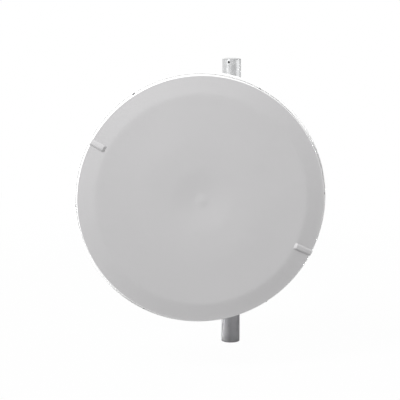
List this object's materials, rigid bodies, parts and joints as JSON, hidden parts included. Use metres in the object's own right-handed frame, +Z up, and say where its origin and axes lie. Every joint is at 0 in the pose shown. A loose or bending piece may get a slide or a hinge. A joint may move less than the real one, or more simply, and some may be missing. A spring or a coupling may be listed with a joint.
{
  "type": "parabolic dish antenna",
  "caption": "Parabolic dish antenna with a rigid radome, on a tilting bracket that two vee clamps hold to a round mast.",
  "frame": {"origin": "on the lower end face of the mast tube, in the middle of its wall, at the side that the dish is on", "axes": "+Z up along the mast, -Y the way the dish looks, +X to the right as seen from in front of the dish"},
  "size_m": [0.629, 0.3865, 0.7878],
  "materials": {
    "galvanised_mast": "hot-dip galvanised, dull spangle and faint vertical streaks",
    "cap_plastic": "matte moulded plastic",
    "bracket_steel": "galvanised plate",
    "jaw_aluminium": "as-cast, slightly rough",
    "bolt_steel": "stainless, satin",
    "dish_paint": "white powder coat",
    "radome_plastic": "pale grey moulded plastic, satin",
    "clip_plastic": "pale grey moulded plastic, satin",
    "feed_aluminium": "machined, clear passivated"
  },
  "bodies": {
    "mast": {"mast_tube": "galvanised_mast", "mast_cap": "cap_plastic"},
    "bracket": {"bracket_web": "bracket_steel", "bracket_cheek_left": "bracket_steel", "bracket_cheek_right": "bracket_steel", "upper_front_jaw": "jaw_aluminium", "lower_front_jaw": "jaw_aluminium", "upper_rear_jaw": "jaw_aluminium", "lower_rear_jaw": "jaw_aluminium", "clamp_bolt_upper_left": "bolt_steel", "clamp_bolt_upper_right": "bolt_steel", "clamp_bolt_lower_left": "bolt_steel", "clamp_bolt_lower_right": "bolt_steel", "pivot_bolt_left": "bolt_steel", "pivot_bolt_right": "bolt_steel", "lock_bolt_left": "bolt_steel", "lock_bolt_right": "bolt_steel"},
    "dish": {"tilt_ear_left": "bracket_steel", "tilt_ear_right": "bracket_steel", "mount_plate": "bracket_steel", "back_ring": "bracket_steel", "reflector": "dish_paint", "rim_collar": "dish_paint", "radome": "radome_plastic", "radome_clip_left": "clip_plastic", "radome_clip_right": "clip_plastic", "feed_hub": "feed_aluminium", "waveguide_flange": "feed_aluminium", "feed_tube": "feed_aluminium", "sub_reflector": "feed_aluminium"}
  },
  "joints": [
    {"name": "azimuth_turn", "type": "hinge", "parent": "mast", "child": "bracket", "pos_m": [0, 0.0239, 0.448], "axis": [0, 0, 1], "continuous": true},
    {"name": "elevation_tilt", "type": "hinge", "parent": "bracket", "child": "dish", "pos_m": [0, -0.0641, 0.448], "axis": [-1, 0, 0], "range_deg": [-20, 20]}
  ]
}
